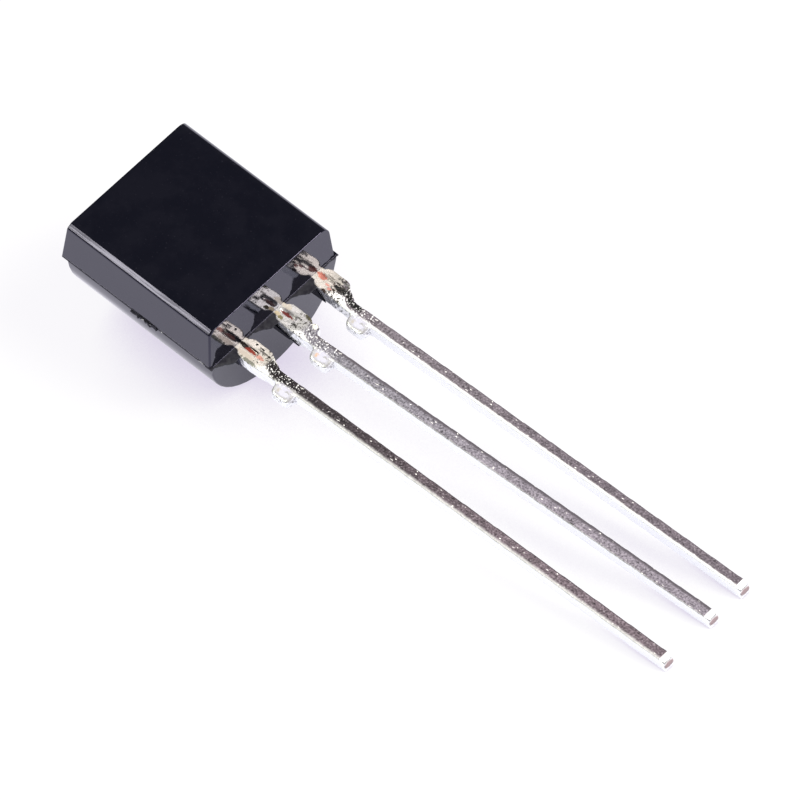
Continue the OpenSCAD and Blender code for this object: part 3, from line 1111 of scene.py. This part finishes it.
@dataclass(frozen=True)
class EdgeZones:
    """Limits that tell the edges of the moulding apart, in millimetres of the part's own axes."""

    least_turn: float = 15.0  # degrees; a flatter edge stays as it is
    level: float = 0.001  # height within which a point is on the parting plane
    margin: float = 0.01  # depth within which a point is on the flat
    bevel_depth: float = 0.3  # depth within which a point is on the bevel beside the flat
    far_end: float = -4.4  # along the part, short of it lies the far end
    far_ledge: float = -4.6  # and short of this the ledge between the two halves
    lead_end: float = -0.2  # past it lies the lead end
    lead_face: float = 0.002  # and past this the flash
    core_middle: float = 0.03  # middle of what lies inside the moulding, across the part
    core_half_width: float = 1.75
    core_top: float = 1.1
    pin3_side: float = 1.7  # across the part, past it lies the pin 3 side of the flat
    pin3_wall: float = 1.9  # and past this the pin 3 wall
    corner: float = 1.6  # distance across past which an end has its corner
    upright_rise: float = 0.05  # least height of an upright edge
    back_top: float = -0.05  # below it lies the back half
    back_lead_top: float = -0.45  # below it the lead end of the back half has its rim
    crosswise: float = 0.2  # most that the direction of an edge across the part lies along it
    slanted: float = 0.5  # most that it lies along the part at the pin 3 ends of the flat
    lengthwise: float = 0.9  # least that the direction of an edge along the part lies along it


@dataclass
class Moulding:
    """The epoxy moulding, with the small radii that the mould gives its edges."""

    palette: Palette
    finish: EpoxyFinish
    zones: EdgeZones = EdgeZones()
    front_depth: float = 1.2
    pin3_wall_top: float = 2.0105
    flat_radius: float = 0.018
    shoulder_radius: float = 0.035
    pin3_radius: float = 0.28
    pin3_steps: int = 10
    far_corner_radius: float = 0.03
    lead_corner_radius: float = 0.05
    ledge_radius: float = 0.025
    back_radius: float = 0.05
    edge_steps: int = 4
    closing: float = 0.001  # distance within which the points of the closed bevel are one
    flash: RaggedRim = RaggedRim(
        along_from=0.003, across_to=math.inf, half_height=0.06, cuts=9, reach=(0.022, 0.02, 0.0)
    )
    gate: RaggedRim = RaggedRim(
        along_from=-math.inf, across_to=-2.067, half_height=0.1, cuts=11, reach=(0.02, 0.05, 0.03)
    )
    ragged_length: float = 0.06  # a shorter edge of a rim isn't cut up
    ragged_size: float = 0.07  # size of the noise that pushes the points
    ragged_seed: int = 4
    sharp: float = 28.0  # degrees
    face_weight: int = 100

    def _radius(self, edge: bmesh.types.BMEdge) -> float:
        """Finds the radius that the mould gives an edge.

        Args:
            edge: An edge of the CAD copy, in the part's own axes.

        Returns:
            The radius in millimetres, 0 for an edge that stays sharp.
        """
        zones, turn = self.zones, math.radians(self.zones.least_turn)
        if not edge.is_manifold or not edge.is_convex or edge.calc_face_angle(0.0) < turn:
            return 0.0
        a, b = (v.co for v in edge.verts)
        middle, along, low = (a + b) / 2, abs((b - a).normalized().x), min(a.z, b.z)
        far, near = middle.x < zones.far_end, middle.x > zones.lead_end
        at_side = abs(middle.y - zones.core_middle) > zones.core_half_width
        if not (at_side or far or near or middle.z > zones.core_top) or max(a.x, b.x) > zones.lead_face:
            return 0.0
        at_pin3_end = middle.y > zones.pin3_side and middle.z > 0.0 and along < zones.slanted
        if low > self.front_depth - zones.margin or at_pin3_end:
            return self.flat_radius
        if low > self.front_depth - zones.bevel_depth and along > zones.lengthwise:
            return self.shoulder_radius
        upright = low > -zones.level and abs(a.z - b.z) > zones.upright_rise
        if abs(middle.y) > zones.corner and (far or near) and upright:
            return self.far_corner_radius if far else self.lead_corner_radius
        if max(abs(a.z), abs(b.z)) < zones.level and middle.x < zones.far_ledge:
            return self.ledge_radius
        on_end = far or (near and middle.z < zones.back_lead_top)
        return self.back_radius if on_end and middle.z < zones.back_top and along < zones.crosswise else 0.0

    def _square_up(self, bm: bmesh.types.BMesh) -> None:
        """Closes the CAD's bevel on the pin 3 side into one edge, and rounds that edge.

        Args:
            bm: The CAD copy, in the part's own axes.
        """
        zones = self.zones
        flat, bevel = self.front_depth - zones.margin, self.front_depth - zones.bevel_depth
        high = [v for v in bm.verts if v.co.y > zones.pin3_side and v.co.z > flat]
        low = [v for v in bm.verts if v.co.y > zones.pin3_wall and bevel < v.co.z < flat]
        for vert in low + high:
            end = min(high, key=lambda other: abs(other.co.x - vert.co.x))
            vert.co = Vector((end.co.x, self.pin3_wall_top, self.front_depth))
        bmesh.ops.remove_doubles(bm, verts=low + high, dist=self.closing)
        edges = [e for e in bm.edges if all(v.co.y > zones.pin3_wall and v.co.z > flat for v in e.verts)]
        bmesh.ops.bevel(
            bm,
            geom=edges,
            offset=self.pin3_radius,
            offset_type="OFFSET",
            segments=self.pin3_steps,
            profile=0.5,
            affect="EDGES",
            material=-1,
        )

    def _ragged(self, bm: bmesh.types.BMesh) -> None:
        """Breaks up the outline of the flash and of the gate stub, in the same way each time.

        Args:
            bm: The moulding in the part's own axes.
        """
        noise.seed_set(self.ragged_seed)
        for rim in (self.flash, self.gate):
            held = [e for e in bm.edges if all(rim.holds(v.co) for v in e.verts)]
            edges = [e for e in held if e.calc_length() > self.ragged_length]
            made = bmesh.ops.subdivide_edges(bm, edges=edges, cuts=rim.cuts, use_grid_fill=False)
            for vert in [e for e in made["geom_inner"] if isinstance(e, bmesh.types.BMVert)]:
                push = noise.noise_vector(Vector((vert.co.x, vert.co.y, 0.0)) / self.ragged_size)
                vert.co += Vector(p * r for p, r in zip(push, Vector(rim.reach)))

    def build(self) -> bpy.types.Object:
        """Builds and dresses the moulding.

        Returns:
            The moulding.
        """
        bm = own_copy("body", self.palette.pose)
        self._square_up(bm)
        weights = bm.edges.layers.float.new("bevel_weight_edge")
        for edge in bm.edges:
            edge[weights] = self._radius(edge) / self.back_radius
        bm = evaluated(
            bm,
            "BEVEL",
            limit_method="WEIGHT",
            width=self.back_radius,
            segments=self.edge_steps,
            use_clamp_overlap=False,
        )
        self._ragged(bm)
        piece = settle("moulding", bm, self.palette.pose, self.sharp)
        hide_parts("body")
        dress(piece, self.finish.material(self.palette))
        shading = piece.modifiers.new("even_shading", "WEIGHTED_NORMAL")
        shading.weight = self.face_weight
        shading.keep_sharp = True
        return piece


def rise(value: float, start: float, length: float) -> float:
    """Gives how far a value is through a stretch, from 0 to 1."""
    return min(1.0, max(0.0, (value - start) / length))


@dataclass
class Lead:
    """One stamped and tinned lead, with its softened edges and uneven plating."""

    palette: Palette
    node: str
    finish: TinFinish
    seed: int
    seed_step: float = 3.7  # how far apart the leads' plating is read in the noise
    voxel: float = 0.022
    smoothing: int = 3
    strip_smoothing: int = 9
    plating_start: float = 0.03
    plating_rise: float = 0.1
    plating_size: float = 0.15
    fine_size: float = 0.4  # share of plating_size
    fine_share: float = 0.4
    broad_share: float = 0.6
    plating_depth: float = 0.003
    root_depth: float = 0.024
    root_start: float = 0.2
    root_rise: float = 0.6
    root_end: float = 1.0
    root_fade: float = 0.4
    sharp: float = 180.0  # degrees

    def _uneven(self, place: Vector) -> float:
        """Gives how far the plating stands off the strip.

        Args:
            place: A point of the surface in the part's own axes.

        Returns:
            The distance along the normal, in millimetres.
        """
        out = rise(place.x, self.plating_start, self.plating_rise)
        root = 1.0 - rise(place.x, self.root_end, self.root_fade)
        root *= rise(place.x, self.root_start, self.root_rise)
        depth = self.plating_depth + (self.root_depth - self.plating_depth) * root
        start = Vector((0.0, 0.0, self.seed_step * self.seed))
        broad = noise.noise((place + start) / self.plating_size)
        fine = noise.noise((place + start) / (self.plating_size * self.fine_size))
        return out * depth * (self.broad_share * broad + self.fine_share * fine)

    def build(self) -> bpy.types.Object:
        """Builds and dresses the lead.

        Returns:
            The lead.
        """
        pose = self.palette.pose
        bm = evaluated(own_copy(self.node, pose), "REMESH", mode="VOXEL", voxel_size=self.voxel)
        strip = [v for v in bm.verts if v.co.x > self.root_end]
        axes = {"use_axis_x": True, "use_axis_y": True, "use_axis_z": True}
        for verts, passes in ((bm.verts, self.smoothing), (strip, self.strip_smoothing)):
            for _ in range(passes):
                bmesh.ops.smooth_vert(bm, verts=verts, factor=0.5, **axes)
        bm.normal_update()
        moves = [(v, v.normal * self._uneven(v.co)) for v in bm.verts]
        for vert, move in moves:
            vert.co += move
        piece = settle(f"{self.node}_plated", bm, pose, self.sharp)
        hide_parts(self.node)
        dress(piece, self.finish.material(self.palette))
        return piece


@dataclass
class Chip:
    """The sealed inner pieces, which keep their CAD shapes."""

    palette: Palette
    solder: InnerFinish = InnerFinish("dull_solder", (0.52, 0.53, 0.55), (0.38, 0.38, 0.40), 0.42, 1.0, 0.03)
    silicon: InnerFinish = InnerFinish(
        "polished_silicon", (0.20, 0.22, 0.30), (0.13, 0.14, 0.20), 0.16, 0.0, 0.05
    )
    gold: InnerFinish = InnerFinish("gold_wire", (0.86, 0.62, 0.24), (0.74, 0.50, 0.17), 0.22, 1.0, 0.02)

    def build(self) -> list[bpy.types.Object]:
        """Dresses the chip, its solder and the bond wires.

        Returns:
            The dressed CAD nodes.
        """
        wiring = self.gold.material(self.palette)
        finishes = {
            "die_attach": (self.solder.material(self.palette), Slot.SOLDER),
            "die": (self.silicon.material(self.palette), Slot.SILICON),
            "emitter_wire": (wiring, Slot.BOND_WIRE),
            "base_wire": (wiring, Slot.BOND_WIRE),
        }
        for node, (material, slot) in finishes.items():
            dress(frame["nodes"][node], material)
        return [frame["nodes"][node] for node in finishes]


# --- Studio ----------------------------------------------------------------------------------


def direction(azimuth: float, elevation: float) -> Vector:
    """Gives a unit vector.

    Args:
        azimuth: Angle from +X towards +Y, in degrees.
        elevation: Angle above the table, in degrees.

    Returns:
        The direction.
    """
    turn, height = math.radians(azimuth), math.radians(elevation)
    return Vector((math.cos(turn) * math.cos(height), math.sin(turn) * math.cos(height), math.sin(height)))


@dataclass(frozen=True)
class SoftBox:
    """A square soft light that looks at the part."""

    name: str
    azimuth: float
    elevation: float
    distance: float
    side: float
    radiance: float
    colour: Colour = WHITE

    def build(self) -> None:
        """Builds the light."""
        data = bpy.data.lights.new(self.name, "AREA")
        data.shape = "SQUARE"
        data.size = self.side
        data.energy = self.radiance * math.pi * self.side**2
        data.color = self.colour
        light = add_object(self.name, data)
        away = direction(self.azimuth, self.elevation)
        light.location = away * self.distance
        light.rotation_euler = away.to_track_quat("Z", "Y").to_euler()


@dataclass
class Studio:
    """Pale floor, soft lights, a dim ceiling and the camera."""

    floor_side: float = 3.0
    floor_colour: Colour = (0.14, 0.155, 0.13)
    floor_lift: Colour = (0.86, 0.84, 0.89)
    floor_shade: Colour = (0.62, 0.56, 0.72)
    floor_mirrored: Colour = (0.98, 0.95, 1.08)
    floor_grain: float = 0.03
    grain_shade: float = 0.99
    mirrored_shade: float = 0.62
    shade_reach: float = 0.006
    shade_range: Span = (0.3, 0.62)
    shade_samples: int = 8
    ceiling: Colour = (0.085, 0.088, 0.1)
    fill: Colour = (0.32, 0.31, 0.36)
    camera_azimuth: float = -37.453
    camera_elevation: float = 50.633
    camera_roll: float = -12.129
    camera_distance: float = 0.21632
    camera_aim: Triple = (-0.00078572, 0.00059202, 0.00080713)
    camera_lens: float = 430.72
    camera_sensor: float = 36.0
    camera_clip: Span = (0.01, 10.0)
    lights: tuple[SoftBox, ...] = (
        SoftBox("key_light", -115.0, 40.0, 0.5, 0.2, 11.5, (1.0, 1.01, 0.78)),
        SoftBox("far_light", 22.0, 30.0, 0.5, 0.2, 3.0),
        SoftBox("top_light", 30.0, 41.0, 0.5, 0.27, 14.5, (1.0, 0.94, 0.83)),
    )

    def _floor(self) -> None:
        """Builds the floor, which looks evenly lit to the camera and to mirrors, and dims round the part."""
        bm = bmesh.new()
        bmesh.ops.create_grid(bm, x_segments=1, y_segments=1, size=self.floor_side / 2)
        floor = add_mesh("floor", bm)
        material = bpy.data.materials.new("floor")
        material.use_nodes = True
        graph = Graph(material.node_tree)
        shader = material.node_tree.nodes["Principled BSDF"]
        path = graph.node("LightPath").outputs
        mirrored = graph.maths("ADD", path["Is Glossy Ray"], path["Is Transmission Ray"], clamp=True)
        seen = graph.maths("ADD", path["Is Camera Ray"], mirrored, clamp=True)
        grain = graph.clouds(graph.node("TexCoord").outputs["Object"], self.floor_grain)
        tone = graph.mix(grain, self.floor_colour, tuple(c * self.grain_shade for c in self.floor_colour))
        graph.feed(shader.inputs["Base Color"], tone)
        shader.inputs["Roughness"].default_value = 1.0
        shader.inputs["Specular IOR Level"].default_value = 0.0
        around = graph.node("AmbientOcclusion", samples=self.shade_samples)
        graph.feed(around.inputs["Distance"], self.shade_reach)
        clear = graph.ramp(around.outputs["AO"], *self.shade_range)
        lift = graph.mix(clear, self.floor_shade, self.floor_lift)
        shaded = tuple(c * self.mirrored_shade for c in self.floor_mirrored)
        shown = graph.mix(clear, shaded, self.floor_mirrored)
        graph.feed(shader.inputs["Emission Color"], graph.mix(mirrored, lift, shown))
        graph.feed(shader.inputs["Emission Strength"], seen)
        floor.data.materials.append(material)

    def _world(self) -> None:
        """Builds a dim ceiling for reflections, a soft fill, and white past the edge of the floor."""
        world = bpy.data.worlds.new("studio")
        bpy.context.scene.world = world
        world.use_nodes = True
        graph = Graph(world.node_tree)
        shader = world.node_tree.nodes["Background"]
        path = graph.node("LightPath").outputs
        glossy = graph.mix(path["Is Glossy Ray"], self.fill, self.ceiling)
        graph.feed(shader.inputs["Color"], graph.mix(path["Is Camera Ray"], glossy, WHITE))
        shader.inputs["Strength"].default_value = 1.0
        world.cycles.sampling_method = "NONE"

    def _camera(self) -> None:
        """Builds the camera."""
        data = bpy.data.cameras.new("camera")
        data.lens = self.camera_lens
        data.sensor_width = self.camera_sensor
        data.clip_start, data.clip_end = self.camera_clip
        camera = add_object("camera", data)
        away = direction(self.camera_azimuth, self.camera_elevation)
        camera.location = Vector(self.camera_aim) + away * self.camera_distance
        level = away.to_track_quat("Z", "Y")
        roll = Matrix.Rotation(math.radians(self.camera_roll), 4, "Z")
        camera.rotation_euler = (level.to_matrix().to_4x4() @ roll).to_euler()
        bpy.context.scene.camera = camera

    def build(self) -> None:
        """Builds the floor, the world, the lights and the camera."""
        self._floor()
        self._world()
        for light in self.lights:
            light.build()
        self._camera()
        bpy.context.scene.view_settings.view_transform = "Standard"


def main() -> None:
    """Builds the studio and the part, piece by piece."""
    Studio().build()
    palette = Palette(Effects(), RestPose.from_record(frame["record"], FLAT_MIDDLE))
    leads = (
        Lead(palette, "emitter_lead", EMITTER_TIN, seed=1),
        Lead(palette, "base_lead", BASE_TIN, seed=2),
        Lead(palette, "collector_lead", COLLECTOR_TIN, seed=3),
    )
    pieces = [Moulding(palette, EpoxyFinish()).build()]
    pieces += [lead.build() for lead in leads]
    pieces += Chip(palette).build()
    for piece in pieces:
        log.info("%s: %d faces", piece.name, len(piece.data.polygons))


if __name__ == "__main__":
    main()
